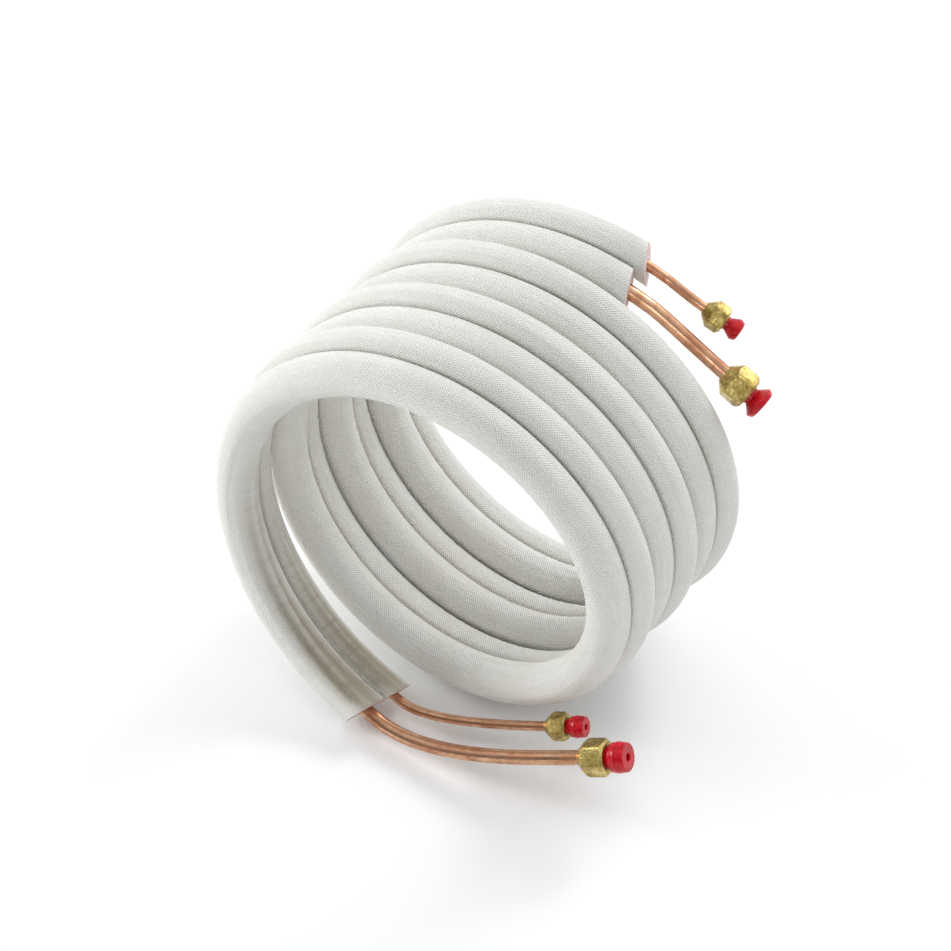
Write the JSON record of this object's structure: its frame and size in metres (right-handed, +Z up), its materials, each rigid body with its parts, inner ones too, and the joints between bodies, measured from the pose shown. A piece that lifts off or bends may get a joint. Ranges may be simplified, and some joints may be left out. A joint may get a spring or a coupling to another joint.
{
  "type": "mini split line set",
  "caption": "Coil of twin copper tubes in white foam sleeves, with brass flare nuts and red transport plugs on its ends.",
  "frame": {"origin": "on the floor, under the middle of the part's footprint", "axes": "+Z up, Y along the coil's axis with the front end of the coil towards -Y, +X to the side that the bare tube ends point to"},
  "size_m": [0.3122, 0.2436, 0.3014],
  "materials": {
    "foam": "embossed white polyethylene foam, matt",
    "copper": "drawn soft copper, satin",
    "brass": "forged and machined brass, slightly dull",
    "red_plastic": "soft moulded polyethylene"
  },
  "bodies": {
    "root": {"thick_foam_sleeve": "foam", "thick_copper_tube": "copper", "front_thick_flare_nut": "brass", "front_thick_plug": "red_plastic", "far_thick_flare_nut": "brass", "far_thick_plug": "red_plastic", "thin_foam_sleeve": "foam", "thin_copper_tube": "copper", "front_thin_flare_nut": "brass", "front_thin_plug": "red_plastic", "far_thin_flare_nut": "brass", "far_thin_plug": "red_plastic"}
  },
  "joints": []
}
